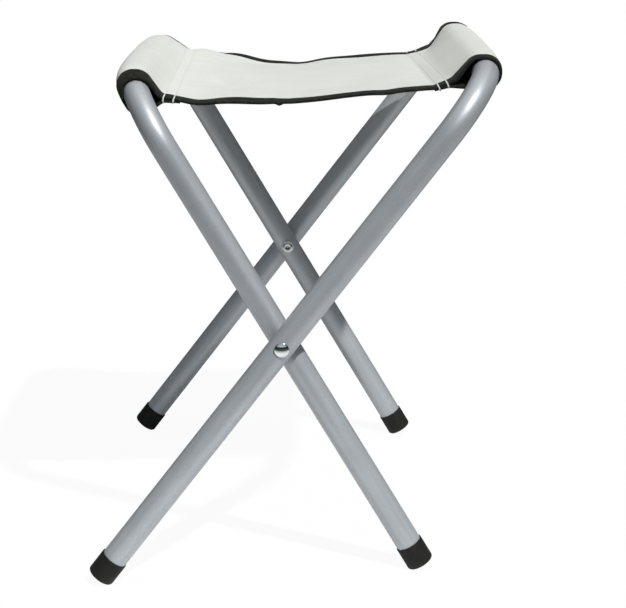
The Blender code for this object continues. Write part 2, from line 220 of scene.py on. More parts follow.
def node(tree, kind, *inputs, out=0, **settings):
    """New node; inputs are values or outputs of other nodes, by place."""
    made = tree.nodes.new("ShaderNode" + kind)
    for key, value in settings.items():
        setattr(made, key, value)
    for socket, value in zip(made.inputs, inputs):
        if isinstance(value, bpy.types.NodeSocket):
            tree.links.new(value, socket)
        else:
            socket.default_value = value
    return made.outputs[out]


def feed(tree, shader, **outputs):
    """Links outputs of other nodes to sockets of the shader."""
    for key, output in outputs.items():
        tree.links.new(output, shader.inputs[key.replace("_", " ")])


def math_node(tree, operation, *inputs):
    return node(tree, "Math", *inputs, operation=operation)


def ramp(tree, factor, *stops):
    """Colour ramp through (position, colour) stops."""
    made = tree.nodes.new("ShaderNodeValToRGB")
    elements = made.color_ramp.elements
    while len(elements) < len(stops):
        elements.new(0.5)
    for element, (position, colour) in zip(elements, stops):
        element.position = position
        element.color = (*colour, 1.0)
    tree.links.new(factor, made.inputs[0])
    return made.outputs[0]


def grey(value):
    return (value, value, value)


def tinted(tree, colour, *factors):
    """Colour multiplied by each factor in turn."""
    for factor in factors:
        colour = node(tree, "MixRGB", 1.0, colour, factor, blend_type="MULTIPLY")
    return colour


def scaled(tree, coordinates, scale):
    """Coordinates multiplied along each axis."""
    return node(tree, "VectorMath", coordinates, scale, operation="MULTIPLY")


def parts(tree, coordinates):
    """The three parts of coordinates."""
    return tuple(node(tree, "SeparateXYZ", coordinates).node.outputs)


def noise_node(tree, coordinates, scale, detail=3.0, roughness=0.55):
    """Noise at one scale, or at one for each axis."""
    if isinstance(scale, tuple):
        coordinates, scale = scaled(tree, coordinates, scale), 1.0
    made = tree.nodes.new("ShaderNodeTexNoise")
    tree.links.new(coordinates, made.inputs["Vector"])
    made.inputs["Scale"].default_value = scale
    made.inputs["Detail"].default_value = detail
    made.inputs["Roughness"].default_value = roughness
    return made.outputs[0]


def ridges(tree, place, pitch):
    """Rounded ridges side by side at a pitch."""
    wave = math_node(tree, "SINE", math_node(tree, "MULTIPLY", place, math.pi / pitch))
    return math_node(tree, "ABSOLUTE", wave)


def bump(tree, shader, height, distance, strength):
    made = tree.nodes.new("ShaderNodeBump")
    made.inputs["Strength"].default_value = strength
    made.inputs["Distance"].default_value = distance
    tree.links.new(height, made.inputs["Height"])
    feed(tree, shader, Normal=made.outputs[0])


def object_coordinates(tree):
    return node(tree, "TexCoord", out=3)


def uv_coordinates(tree):
    return node(tree, "UVMap", uv_map="UVMap")


def painted_steel():
    """Satin silver-grey paint: faint flake, orange peel, and soft bands and fine scuffs along the tubes."""
    made, tree, shader = material("painted_steel", Metallic=0.38, Coat_Weight=0.08, Coat_Roughness=0.3)
    at, along = object_coordinates(tree), uv_coordinates(tree)
    cloud = noise_node(tree, at, 28.0, 2.0)
    flake = noise_node(tree, at, 2400.0, 1.0)
    peel = noise_node(tree, at, 620.0, 1.5)
    scuff = noise_node(tree, along, (900.0, 26.0, 1.0), 2.0, 0.6)
    drawn = noise_node(tree, along, (260.0, 5.0, 1.0), 2.0, 0.6)
    base = ramp(tree, cloud, (0.3, (0.432, 0.454, 0.474)), (0.7, (0.475, 0.496, 0.512)))
    spark = ramp(tree, flake, (0.38, grey(0.91)), (0.66, grey(1.07)))
    worn = ramp(tree, scuff, (0.70, grey(1.0)), (0.78, grey(1.12)))
    bands = ramp(tree, drawn, (0.32, grey(0.93)), (0.68, grey(1.07)))
    feed(tree, shader, Base_Color=tinted(tree, base, spark, worn, bands),
         Roughness=ramp(tree, scuff, (0.30, grey(0.42)), (0.80, grey(0.52))))
    bump(tree, shader, peel, 0.00004, 0.5)
    return made


def zinc_plate():
    """Bright zinc: nearly a mirror, with a fine grain and a little clouding."""
    made, tree, shader = material("zinc_plate", Metallic=1.0)
    at = object_coordinates(tree)
    cloud = noise_node(tree, at, 420.0)
    feed(tree, shader, Base_Color=ramp(tree, cloud, (0.3, (0.70, 0.71, 0.71)), (0.7, (0.83, 0.84, 0.83))),
         Roughness=ramp(tree, cloud, (0.3, grey(0.03)), (0.7, grey(0.06))))
    bump(tree, shader, noise_node(tree, at, 1500.0, 2.0), 0.00001, 0.3)
    return made


def rubber():
    """Moulded black rubber: fine grain, a little grey bloom, and dust rubbed in towards the floor."""
    made, tree, shader = material("black_rubber", Specular_IOR_Level=0.25)
    at = object_coordinates(tree)
    cloud = noise_node(tree, at, 160.0, 4.0)
    low = ramp(tree, parts(tree, at)[2], (0.0, grey(1.0)), (0.006, grey(0.0)))
    dust = math_node(tree, "MULTIPLY", low, cloud)
    base = ramp(tree, cloud, (0.35, (0.0068, 0.0071, 0.0058)), (0.75, (0.0118, 0.0122, 0.0100)))
    feed(tree, shader, Base_Color=node(tree, "MixRGB", dust, base, (0.055, 0.052, 0.047, 1.0)),
         Roughness=ramp(tree, cloud, (0.3, grey(0.52)), (0.7, grey(0.68))))
    bump(tree, shader, noise_node(tree, at, 1800.0, 2.0), 0.00006, 0.6)
    return made


def nylon():
    """White nylon, a little milky and clouded."""
    made, tree, shader = material("white_nylon", Subsurface_Weight=0.1, Subsurface_Scale=0.001)
    cloud = noise_node(tree, object_coordinates(tree), 300.0)
    feed(tree, shader, Base_Color=ramp(tree, cloud, (0.3, (0.66, 0.66, 0.63)), (0.7, (0.76, 0.76, 0.73))),
         Roughness=ramp(tree, cloud, (0.3, grey(0.40)), (0.7, grey(0.55))))
    return made


def canvas_weave(seams):
    """Plain-woven off-white canvas: crossing threads with painted shade in the gaps between them, slubs along
    both, faint streaks, painted shade dotted along the given seams, and painted shade on its back."""
    made, tree, shader = material("off_white_canvas", Roughness=0.88, Sheen_Weight=0.12, Sheen_Roughness=0.5,
                                  Specular_IOR_Level=0.25)
    at = uv_coordinates(tree)
    along, across, _ = parts(tree, at)
    crossing = math_node(tree, "MULTIPLY", *(ridges(tree, place, WEAVE_PITCH) for place in (along, across)))
    dome = math_node(tree, "POWER", crossing, 0.6)
    slub = math_node(tree, "ADD", noise_node(tree, at, (1500.0, 45.0, 1.0), 2.0),
                     noise_node(tree, at, (45.0, 1500.0, 1.0), 2.0))
    base = ramp(tree, noise_node(tree, at, 22.0), (0.3, (0.690, 0.690, 0.645)), (0.7, (0.722, 0.720, 0.675)))
    threads = ramp(tree, slub, (0.35, grey(0.93)), (0.65, grey(1.03)))
    # Painted shade in the gaps between crossing threads: darker where the weave's crossings are low.
    weave_gap_shade = ramp(tree, dome, (0.0, grey(0.86)), (0.45, grey(1.0)))
    streak = ramp(tree, noise_node(tree, at, (24.0, 520.0, 1.0), 2.0), (0.3, grey(0.94)), (0.7, grey(1.05)))
    cloth = tinted(tree, base, threads, weave_gap_shade, streak)
    # Painted shade along the seams, dotted at the stitch pitch, where the cloth is drawn in round the
    # stitches.
    stitch_wave = math_node(tree, "SINE", math_node(tree, "MULTIPLY", across, math.tau / STITCH_PITCH))
    stitch_wave = math_node(tree, "MULTIPLY_ADD", stitch_wave, 0.5, 0.5)
    painted_seam_shade = ramp(tree, stitch_wave, (0.2, grey(0.86)), (0.8, grey(0.95)))
    for seam in seams:
        away = math_node(tree, "ABSOLUTE", math_node(tree, "SUBTRACT", along, seam))
        near = ramp(tree, math_node(tree, "MULTIPLY", away, 1 / SEAM_W), (0.25, grey(1.0)), (0.6, grey(0.0)))
        cloth = node(tree, "MixRGB", near, cloth, tinted(tree, cloth, painted_seam_shade))
    # Painted shade on the back: the same cloth, greyed as if it lay in shade under the seat.
    on_back = math_node(tree, "GREATER_THAN", across, BACK_UV / 2)
    feed(tree, shader, Base_Color=node(tree, "MixRGB", on_back, cloth, tinted(tree, cloth, BACK_PAINTED_SHADE)))
    height = math_node(tree, "ADD", dome, math_node(tree, "MULTIPLY", slub, 0.5))
    bump(tree, shader, height, 0.00012, 0.55)
    return made


def ribbed_tape():
    """Black woven tape with close cross ribs, painted lighter on their crests and darker between them, uneven
    yarn and a dull sheen.
    """
    made, tree, shader = material("black_tape", Roughness=0.8, Sheen_Weight=0.05, Sheen_Roughness=0.45,
                                  Specular_IOR_Level=0.2)
    at = uv_coordinates(tree)
    along, across, _ = parts(tree, at)
    rib, yarn = ridges(tree, along, RIB_PITCH), ridges(tree, across, YARN_PITCH)
    base = ramp(tree, noise_node(tree, at, 90.0), (0.3, (0.0060, 0.0064, 0.0042)),
                (0.7, (0.0114, 0.0121, 0.0080)))
    # Painted light and shade on the ribs: crests lighter, the hollows between them darker.
    rib_light_and_shade = ramp(tree, rib, (0.0, grey(0.72)), (0.7, grey(1.08)))
    fleck = ramp(tree, noise_node(tree, at, (380.0, 500.0, 1.0), 2.0, 0.6), (0.36, grey(0.35)),
                 (0.68, grey(2.5)))
    feed(tree, shader, Base_Color=tinted(tree, base, rib_light_and_shade, fleck))
    height = math_node(tree, "ADD", rib, math_node(tree, "MULTIPLY", yarn, 0.35))
    bump(tree, shader, height, 0.00016, 0.7)
    return made


def white_thread():
    """Twisted white sewing thread, painted darker in the grooves of its twist."""
    made, tree, shader = material("white_thread", Roughness=0.6, Sheen_Weight=0.2)
    twist = scaled(tree, uv_coordinates(tree), (math.tau / TWIST_PITCH, math.tau, 0.0))
    along, around, _ = parts(tree, twist)
    lay = math_node(tree, "SINE", math_node(tree, "ADD", along, around))
    # Painted shade in the twist's grooves: the colour follows the bump's wave and is darker where it is low.
    twist_shade = math_node(tree, "MULTIPLY_ADD", lay, 0.5, 0.5)
    feed(tree, shader, Base_Color=ramp(tree, twist_shade, (0.1, (0.62, 0.625, 0.59)), (0.7, (0.76, 0.765, 0.73))))
    bump(tree, shader, lay, 0.00005, 0.6)
    return made


def floor_white():
    """White sheet on a dim floor that looks white to the camera throughout, and takes a faint shadow."""
    made, tree, shader = material("pale_floor", Roughness=0.9, Specular_IOR_Level=0.1)
    middle = node(tree, "VectorMath", object_coordinates(tree), (0.0, 0.10, 0.0), operation="ADD")
    away = node(tree, "VectorMath", scaled(tree, middle, (0.8, 1.2, 1.0)), operation="LENGTH", out=1)
    sheet = ramp(tree, away, (0.28, grey(0.90)), (0.52, grey(0.45)), (0.92, grey(0.05)))
    path = tree.nodes.new("ShaderNodeLightPath")
    seen = math_node(tree, "MAXIMUM", path.outputs["Is Camera Ray"], path.outputs["Is Transmission Ray"])
    feed(tree, shader, Base_Color=node(tree, "MixRGB", seen, sheet, (0.92, 0.92, 0.92, 1.0)))
    share = math_node(tree, "MULTIPLY", seen, FLOOR_GLOW)
    mixed = node(tree, "MixShader", share, shader.outputs[0], node(tree, "Emission", WHITE, 1.0))
    tree.links.new(mixed, tree.nodes["Material Output"].inputs["Surface"])
    return made


STEEL = painted_steel()
ZINC = zinc_plate()
RUBBER = rubber()
NYLON = nylon()
TAPE = ribbed_tape()
THREAD = white_thread()


# Meshes
def shade(mesh, crease):
    """Faces smooth up to the crease angle, in degrees, or throughout where there is none."""
    mesh.shade_smooth()
    if crease:
        mesh.set_sharp_from_angle(angle=math.radians(crease))


def add_piece(name, mesh, look, crease=None):
    """Object for a finished mesh in the row frame."""
    piece = bpy.data.objects.new(name, mesh)
    bpy.context.scene.collection.objects.link(piece)
    mesh.materials.clear()
    mesh.materials.append(look)
    shade(mesh, crease)
    return piece


def mesh_from(name, vertices, faces, uvs=None):
    """Mesh from points and faces, with UVs in metres given for each vertex."""
    mesh = bpy.data.meshes.new(name)
    mesh.from_pydata([tuple(map(float, v)) for v in vertices], [], [tuple(map(int, f)) for f in faces])
    if uvs is not None:
        layer = mesh.uv_layers.new(name="UVMap")
        picked = np.zeros(len(mesh.loops), np.int32)
        mesh.loops.foreach_get("vertex_index", picked)
        layer.data.foreach_set("uv", np.asarray(uvs, np.float32)[picked].ravel())
    mesh.validate()
    return mesh


def mesh_of(name, form):
    """Mesh from a finished bmesh, which it frees."""
    mesh = bpy.data.meshes.new(name)
    form.to_mesh(mesh)
    form.free()
    return mesh


def face_out(mesh):
    """The same closed mesh with all its faces turned outwards."""
    form = bmesh.new()
    form.from_mesh(mesh)
    bmesh.ops.recalc_face_normals(form, faces=form.faces)
    form.to_mesh(mesh)
    form.free()
    return mesh


def grid_faces(rows, columns, close_columns=False, close_rows=False, start=0):
    """Quads over a grid of vertices numbered row by row."""
    faces = []
    for i in range(rows if close_rows else rows - 1):
        for j in range(columns if close_columns else columns - 1):
            a, b = i, (i + 1) % rows
            c, d = j, (j + 1) % columns
            faces.append((start + a * columns + c, start + a * columns + d,
                          start + b * columns + d, start + b * columns + c))
    return faces


def turned(name, profile, look, place):
    """Solid of revolution about local Z from a closed (radius, height) profile."""
    form = bmesh.new()
    turns = [math.tau * k / TURN_SIDES for k in range(TURN_SIDES)]
    rings = []
    for radius, height in profile:
        around = turns if radius else turns[:1]
        rings.append([form.verts.new((radius * math.cos(t), radius * math.sin(t), height)) for t in around])
    for ring, after in zip(rings, rings[1:] + rings[:1]):
        for k in range(TURN_SIDES):
            corners = [ring[k % len(ring)], after[k % len(after)],
                       after[(k + 1) % len(after)], ring[(k + 1) % len(ring)]]
            corners = list(dict.fromkeys(corners))
            if len(corners) > 2:
                form.faces.new(corners)
    form.transform(place)
    return add_piece(name, face_out(mesh_of(name, form)), look, TURN_CREASE)


def arc(centre, radius, start, end, steps):
    angles = [math.radians(start + (end - start) * i / steps) for i in range(steps + 1)]
    return [(centre[0] + radius * math.cos(a), centre[1] + radius * math.sin(a)) for a in angles]


def runs_along(points):
    """Length along a line of points, or along each column of a grid of them, from nought at its start."""
    steps = np.linalg.norm(np.diff(points, axis=0), axis=-1)
    return np.concatenate([np.zeros((1, *steps.shape[1:])), np.cumsum(steps, axis=0)])


# Tubes
def u_stations(side):
    """Centreline of a U frame in its own axes, as (y, z, heading) from the front foot to the rear one."""
    half, top = side["spacing"] / 2, side["top"]
    foot = side["reach"] - CAP_BASE - SEAT_GAP
    shoulder = top - BEND_R
    low = np.linspace(-foot, -HOLE_CLEAR, LOW_STATIONS)
    beside = np.arange(-HOLE_ZONE, HOLE_ZONE + HOLE_STEP / 10, HOLE_STEP)
    high = np.linspace(HOLE_CLEAR, shoulder, HIGH_STATIONS)
    front = [(-half, z, math.pi / 2) for z in np.concatenate([low, beside, high])]
    for k in range(1, BEND_STEPS + 1):
        turn = math.pi / 2 * k / BEND_STEPS
        front.append((-half + BEND_R * (1 - math.cos(turn)), shoulder + BEND_R * math.sin(turn),
                      math.pi / 2 - turn))
    bar_end = half - BEND_R
    bar = [(y, top, 0.0) for y in np.linspace(-bar_end, bar_end, BAR_STATIONS)[1:-1]]
    rear = [(-y, z, -heading) for y, z, heading in reversed(front)]
    return front + bar + rear


def bent_tube(name, side):
    """Hollow U-bent tube with open ends and drilled rivet holes."""
    stations = u_stations(side)
    runs = runs_along(np.array(stations)[:, :2])
    vertices, uvs = [], []
    for radius, step in ((TUBE_R, 1), (TUBE_R - TUBE_WALL, -1)):
        for (y, z, heading), run in zip(stations[::step], runs[::step]):
            for k in range(TUBE_SIDES):
                turn = math.tau * k / TUBE_SIDES
                inward = radius * math.cos(turn)
                point = Vector((radius * math.sin(turn), y + inward * math.sin(heading),
                                z - inward * math.cos(heading)))
                vertices.append(side["place"] @ point)
                uvs.append((TUBE_R * (turn if turn <= math.pi else math.tau - turn), run))
    faces = grid_faces(2 * len(stations), TUBE_SIDES, close_columns=True, close_rows=True)
    blank = face_out(mesh_from("blank", vertices, faces, uvs))
    return add_piece(name, drilled(name, blank, side["spacing"]), STEEL, TUBE_CREASE)


def drilled(name, blank, spacing):
    """Mesh of a frame's tube with a rivet hole through each leg, made from its blank."""
    form = bmesh.new()
    laid = Matrix.Translation(PIVOT) @ Matrix.Rotation(math.pi / 2, 4, "X")
    bmesh.ops.create_cone(form, cap_ends=True, segments=DRILL_SIDES, radius1=HOLE_R, radius2=HOLE_R,
                          depth=spacing + 6 * TUBE_R, matrix=laid)
    drill_mesh = mesh_of("drill", form)
    tube, drill = (bpy.data.objects.new(mesh.name, mesh) for mesh in (blank, drill_mesh))
    for tool in (tube, drill):
        bpy.context.scene.collection.objects.link(tool)
    cut = tube.modifiers.new("rivet_holes", "BOOLEAN")
    cut.operation, cut.solver, cut.object = "DIFFERENCE", "EXACT", drill
    bpy.context.view_layer.update()
    done = bpy.data.meshes.new_from_object(tube.evaluated_get(bpy.context.evaluated_depsgraph_get()))
    done.name = name
    for tool in (tube, drill):
        bpy.data.objects.remove(tool)
    for mesh in (blank, drill_mesh):
        bpy.data.meshes.remove(mesh)
    return done


# Caps and rivet joints
def foot_cap(name, side, end):
    """Rubber cup over a tube end, rounded at its base, with the flat that it stands on."""
    reach = side["reach"]
    mouth = CAP_LENGTH - reach
    base_round = arc((CAP_R - CAP_ROUND, CAP_ROUND - reach), CAP_ROUND, 0, -90, steps=9)
    lip = arc((CAP_R - CAP_LIP, mouth - CAP_LIP), CAP_LIP, 90, 0, steps=4)
    profile = [(0.0, CAP_BASE - reach), (CAP_BORE, CAP_BASE - reach), (CAP_BORE, mouth)]
    profile += lip + base_round + [(0.0, -reach)]
    place = side["place"] @ Matrix.Translation((0.0, end * side["spacing"] / 2, 0.0))
    cap = turned(name, profile, RUBBER, place)
    form = bmesh.new()
    form.from_mesh(cap.data)
    everything = form.verts[:] + form.edges[:] + form.faces[:]
    bmesh.ops.bisect_plane(form, geom=everything, plane_co=(0, 0, 0), plane_no=(0, 0, 1), clear_inner=True)
    bmesh.ops.holes_fill(form, edges=[e for e in form.edges if e.is_boundary])
    form.to_mesh(cap.data)
    form.free()
    shade(cap.data, CAP_CREASE)
    return cap


def outward(end, distance):
    """Place on the rivet axis with local Z pointing away from the stool's middle."""
    return Matrix.Translation(PIVOT + Vector((0.0, end * distance, 0.0))) @ Matrix.Rotation(
        -end * math.pi / 2, 4, "X")


def rivet(name, end):
    """Semi-tubular rivet: domed head, plain shank and a rolled tail with its bore still open."""
    tail_seat = -(4 * TUBE_R + SPACER_T + WASHER_T + 4 * SEAT_GAP)
    tail_end = tail_seat - CLINCH_H
    rise = HEAD_H - HEAD_RIM
    dome_r = (HEAD_R ** 2 + rise ** 2) / (2 * rise)
    dome_centre = SEAT_GAP + HEAD_H - dome_r
    rim_angle = math.degrees(math.asin((SEAT_GAP + HEAD_RIM - dome_centre) / dome_r))
    dome = arc((0.0, dome_centre), dome_r, 90, rim_angle, steps=14)
    roll_r = CLINCH_H / 2
    lip_r = roll_r / 2
    roll = arc((CLINCH_R - roll_r, tail_seat - roll_r), roll_r, 90, -90, steps=12)
    lip = arc((TAIL_BORE_R + lip_r, tail_end + lip_r), lip_r, 270, 180, steps=5)
    profile = [(0.0, dome[0][1])] + dome[1:] + [(HEAD_R, SEAT_GAP), (SHANK_R, SEAT_GAP), (SHANK_R, tail_seat)]
    profile += roll + lip + [(TAIL_BORE_R, tail_end + TAIL_BORE_DEPTH), (0.0, tail_end + TAIL_BORE_DEPTH)]
    return turned(name, profile, ZINC, outward(end, OUTER["spacing"] / 2 + TUBE_R))


def ring(name, radius, thickness, look, end, side):
    """Flat washer on the rivet's shank, inside one frame's leg, with its edges broken."""
    edge = RING_EDGE
    profile = [(HOLE_R, 0.0), (radius - edge, 0.0), (radius, -edge), (radius, -thickness + edge),
               (radius - edge, -thickness), (HOLE_R, -thickness)]
    return turned(name, profile, look, outward(end, side["spacing"] / 2 - TUBE_R - SEAT_GAP))


# Canvas
def belt(pegs):
    """Points of a strip led past pegs, each a (centre, radius, turn), closely spaced on the bends."""
    headings = []
    for (centre, radius, turn), (after, after_radius, after_turn) in zip(pegs, pegs[1:]):
        step = after - centre
        swing = math.asin((after_turn * after_radius - turn * radius) / step.length)
        headings.append(math.atan2(step.y, step.x) - swing)
    strip = []
    for index, (centre, radius, turn) in enumerate(pegs):
        arriving = headings[max(index - 1, 0)]
        leaving = headings[min(index, len(headings) - 1)]
        sweep = turn * ((leaving - arriving) * turn % math.tau)
        steps = PEG_STEPS if radius else 0
        for i in range(steps + 1):
            heading = arriving + sweep * (i / steps if steps else 0.0)
            strip.append(centre - turn * radius * Vector((-math.sin(heading), math.cos(heading))))
    return np.array([tuple(p) for p in strip])


def between(pair, y):
    """Value at a depth in the cloth, from those at its front and rear edge."""
    return float(pair[0] + (pair[1] - pair[0]) * (y + EDGE) / CLOTH_DEPTH)


def smoothstep(low, high, value):
    t = np.clip((value - low) / (high - low), 0.0, 1.0)
    return t * t * (3 - 2 * t)


def bend_drop(side):
    """How far a bend's underside lies below its bar's at the bound edge of the cloth."""
    overhang = max(0.0, EDGE + BIND_OUT - (side["spacing"] / 2 - BEND_R))
    return max(BEND_R - math.sqrt((BEND_R - TUBE_R) ** 2 - overhang ** 2) - TUBE_R, SEAT_GAP)


def bend_fall(side, y):
    """How far the cloth on top of a bar has followed its bend down."""
    overhang = max(0.0, abs(y) - (side["spacing"] / 2 - BEND_R))
    radius = BEND_R + LOOP_R
    return radius - math.sqrt(radius ** 2 - overhang ** 2)


def evenly(points, count):
    """Points spaced evenly along a line of points."""
    runs = runs_along(points)
    keep = np.concatenate([[True], np.diff(runs) > 1e-9])
    at = np.linspace(0.0, runs[-1], count)
    return np.stack([np.interp(at, runs[keep], points[keep, k]) for k in range(points.shape[1])], axis=1)


def sleeve_section(side, y):
    """Section of a sleeve about its bar, u inboard and v up: hem, over the bar, round it and back under."""
    slack = 1 - abs(float(y) / EDGE) ** 4
    ease = side["ease"] * slack
    reach, rise_in = between(side["hem_reach"], y), between(side["hem_rise"], y)
    root = between(side["hem_root"], y) + ease
    fillet = between(side["fillet"], y) + 0.5 * ease
    hem = -between(side["hem_drop"], y)
    closed = float(smoothstep(0.0, HEM_MOUTH, EDGE - abs(y)))
    fold_back = hem - (HEM_STEP + (HEM_PINCH - HEM_STEP) * closed)
    lean = abs(side["lean"])
    down = Vector((math.sin(lean), -math.cos(lean)))
    over = down * bend_fall(side, y)
    out, rise = (amount * slack for amount in side["puff"])
    pegs = [
        (Vector((reach, hem)), 0.0, 1),
        (Vector((root, hem + rise_in + fillet)), fillet, -1),
        (over + Vector((side["bulge"], rise)), LOOP_R, 1),
        (over + Vector((-out, rise)), LOOP_R, 1),
        (down * bend_drop(side) + Vector((-out, 0.0)), LOOP_R, 1),
        (Vector((root, fold_back + rise_in)), 0.0, 1),
        (Vector((reach, max(fold_back, hem - HEM_END))), 0.0, 1),
    ]
    strip = evenly(belt(pegs), SLEEVE_POINTS)
    soft = strip.copy()
    for _ in range(SOFTEN):
        soft[1:-1] = (soft[:-2] + 2 * soft[1:-1] + soft[2:]) / 4
    strip += (soft - strip) * slack
    return strip * (side["inboard"], 1.0) + (side["bar"].x, side["bar"].z)


def panel_section(start, end, y):
    """Section of the seat between the hems, hollowed along the line where it folds, without its ends."""
    share = np.linspace(0.0, 1.0, PANEL_POINTS + 2)[1:-1]
    skew = math.log(0.5) / math.log(SEAT_VALLEY)
    hollow = np.sin(np.pi * np.minimum(share ** skew, 1.0)) ** SEAT_EASE
    sag = between(SEAT_SAG, y) * (1 - SEAT_LEVEL * (1 - (y / EDGE) ** 2)) * hollow
    return start + (end - start) * share[:, None] - np.stack([np.zeros_like(sag), sag], axis=1)


def cloth_grid():
    """Middle surface of the whole cloth, [place along the section, row, xyz], and the rows' y."""
    bound = np.linspace(EDGE, EDGE - BIND_W, EDGE_ROWS)
    inside = np.linspace(-EDGE + BIND_W, EDGE - BIND_W, CLOTH_ROWS - 2 * EDGE_ROWS + 2)[1:-1]
    rows = np.concatenate([-bound, inside, bound[::-1]])
    columns = []
    for y in rows:
        inner = sleeve_section(INNER, y)[::-1]
        outer = sleeve_section(OUTER, y)
        section = np.concatenate([inner, panel_section(inner[-1], outer[0], y), outer])
        columns.append(np.stack([section[:, 0], np.full(len(section), y), section[:, 1]], axis=1))
    return np.stack(columns, axis=1), rows


def grid_normals(grid):
    """Unit normals of a grid's surface, upwards on the seat."""
    along = np.gradient(grid, axis=0)
    across = np.gradient(grid, axis=1)
    normal = np.cross(along, across)
    return normal / np.linalg.norm(normal, axis=2, keepdims=True)


def settle(grid):
    """Cloth with its bound edges as they hang: dips, curls and the nub where the tape's ends meet."""
    x, y = grid[:, :, 0], grid[:, :, 1]
    lift = np.zeros(x.shape)
    for end, at_x, width, depth, height in EDGE_SET:
        lift += height * np.exp(-((x - at_x) / width) ** 2 - ((EDGE - end * y) / depth) ** 2)
    return grid + np.stack([np.zeros_like(lift), np.zeros_like(lift), lift], axis=2)


def wrinkle(grid):
    """Soft pulls of worn cloth: slanting folds on the seat and a slight unevenness all over."""
    x, y = grid[:, :, 0], grid[:, :, 1]
    inner_hem = INNER["bar"].x + max(INNER["hem_reach"])
    outer_hem = OUTER["bar"].x - max(OUTER["hem_reach"])
    on_seat = np.zeros(grid.shape[0], bool)
    on_seat[SLEEVE_POINTS:OUTER_START] = True
    fade = smoothstep(inner_hem, inner_hem + WRINKLE_FADE, x)
    fade = fade * (1 - smoothstep(outer_hem - WRINKLE_FADE, outer_hem, x)) * on_seat[:, None]
    lift = np.zeros(x.shape)
    for at_x, at_y, slant, width, length, height in WRINKLES:
        turn = math.radians(slant)
        away = (x - at_x) * math.sin(turn) - (y - at_y) * math.cos(turn)
        along = (x - at_x) * math.cos(turn) + (y - at_y) * math.sin(turn)
        lift += height * np.exp(-(away / width) ** 2 - (along / length) ** 2)
    lift *= fade
    uneven = np.array([[noise.noise(Vector((i * UNEVEN_ALONG, j * UNEVEN_ACROSS, UNEVEN_SLICE)))
                        for j in range(grid.shape[1])] for i in range(grid.shape[0])])
    lift += UNEVEN * uneven * np.where(on_seat, 1.0, UNEVEN_SLEEVE)[:, None]
    return grid + grid_normals(grid) * lift[:, :, None]


def reaches_from(grid, side):
    """How far each point of the cloth lies inboard or outboard of a bar."""
    return np.abs(grid[:, :, 0] - side["bar"].x)


def sew(grid, rows):
    """Cloth drawn in along the seams on the upper layer of both sleeves."""
    drawn = np.zeros(grid.shape[:2])
    for side in (INNER, OUTER):
        upper = side["layers"][0]
        reaches = reaches_from(grid, side)[upper]
        for seam in side["rows"]:
            drawn[upper] += np.exp(-((reaches - [between(seam, y) for y in rows]) / SEAM_W) ** 2)
    return grid - grid_normals(grid) * (SEAM_DEPTH * drawn)[:, :, None]


def at_reach(values, reaches, layer, row, reach):
    """Values on one row of a sleeve's layer at a reach from its bar, looked up clear of the loop."""
    known = reaches[layer, row]
    flat = np.flatnonzero(known > SEAM_SEARCH * reach)
    flat = flat[np.argsort(known[flat])]
    return np.array([np.interp(reach, known[flat], values[layer[flat], row, k])
                     for k in range(values.shape[2])])


def seam_runs(grid, rows, seam):
    """Length along the cloth at which it meets one of the inner sleeve's seams, for each row."""
    runs, reaches = runs_along(grid)[:, :, None], reaches_from(grid, INNER)
    upper = INNER["layers"][0]
    return np.array([at_reach(runs, reaches, upper, j, between(seam, y))[0] for j, y in enumerate(rows)])


def sheet_mesh(name, grid, datum):
    """Closed cloth about its middle surface, with UVs in metres along it from a datum and across it, set
    apart on its back."""
    half = grid_normals(grid) * CLOTH_T / 2
    count, rows = grid.shape[:2]
    size = count * rows
    uv = np.stack([runs_along(grid) - datum, grid[:, :, 1]], axis=2).reshape(-1, 2)
    faces = grid_faces(count, rows)
    faces += [tuple(size + v for v in reversed(f)) for f in faces]
    rim = [(i, 0) for i in range(count)] + [(count - 1, j) for j in range(1, rows)]
    rim += [(i, rows - 1) for i in range(count - 2, -1, -1)] + [(0, j) for j in range(rows - 2, 0, -1)]
    around = [i * rows + j for i, j in rim]
    faces += [(b, a, size + a, size + b) for a, b in zip(around, around[1:] + around[:1])]
    vertices = np.concatenate([(grid + half).reshape(-1, 3), (grid - half).reshape(-1, 3)])
    return face_out(mesh_from(name, vertices, faces, np.concatenate([uv, uv + (0.0, BACK_UV)])))


def edge_order(end):
    """Rows of the cloth under the tape at one end, from the edge inwards."""
    return list(range(EDGE_ROWS)) if end < 0 else [-1 - k for k in range(EDGE_ROWS)]


def tape_mesh(name, grid, end):
    """Tape folded over one edge of the cloth: a closed U-shaped section led along the edge."""
    order = edge_order(end)
    tracks, facings = grid[:, order], grid_normals(grid)[:, order]
    count = len(grid)
    vertices, uvs = [], []
    for i, (track, facing, run) in enumerate(zip(tracks, facings, runs_along(tracks[:, 0]))):
        edge, n_edge = track[0], facing[0]
        out = edge - track[1]
        out = out / np.linalg.norm(out)
        from_end = min(i, count - 1 - i) / TAPER_POINTS
        skin = BIND_OUT + (TAPER_T - BIND_OUT) * (1 - smoothstep(0.0, 1.0, from_end))
        for reach, step in ((skin, 1), (min(BIND_IN, TAPER_IN * skin), -1)):
            nose = [edge + reach * (math.cos(a) * n_edge + math.sin(a) * out)
                    for a in np.linspace(0.0, math.pi, NOSE_POINTS)]
            line = [*(track + facing * reach)[:0:-1], *nose, *(track - facing * reach)[1:]]
            vertices += line[::step]
            uvs += [(run, width) for width in runs_along(line)[::step]]
    per = len(vertices) // count
    faces = grid_faces(count, per, close_columns=True)
    for first, step in ((0, 1), ((count - 1) * per, -1)):
        for k in range(per // 2 - 1):
            face = (first + k, first + k + 1, first + per - 2 - k, first + per - 1 - k)
            faces.append(face[::step])
    return face_out(mesh_from(name, vertices, faces, uvs))


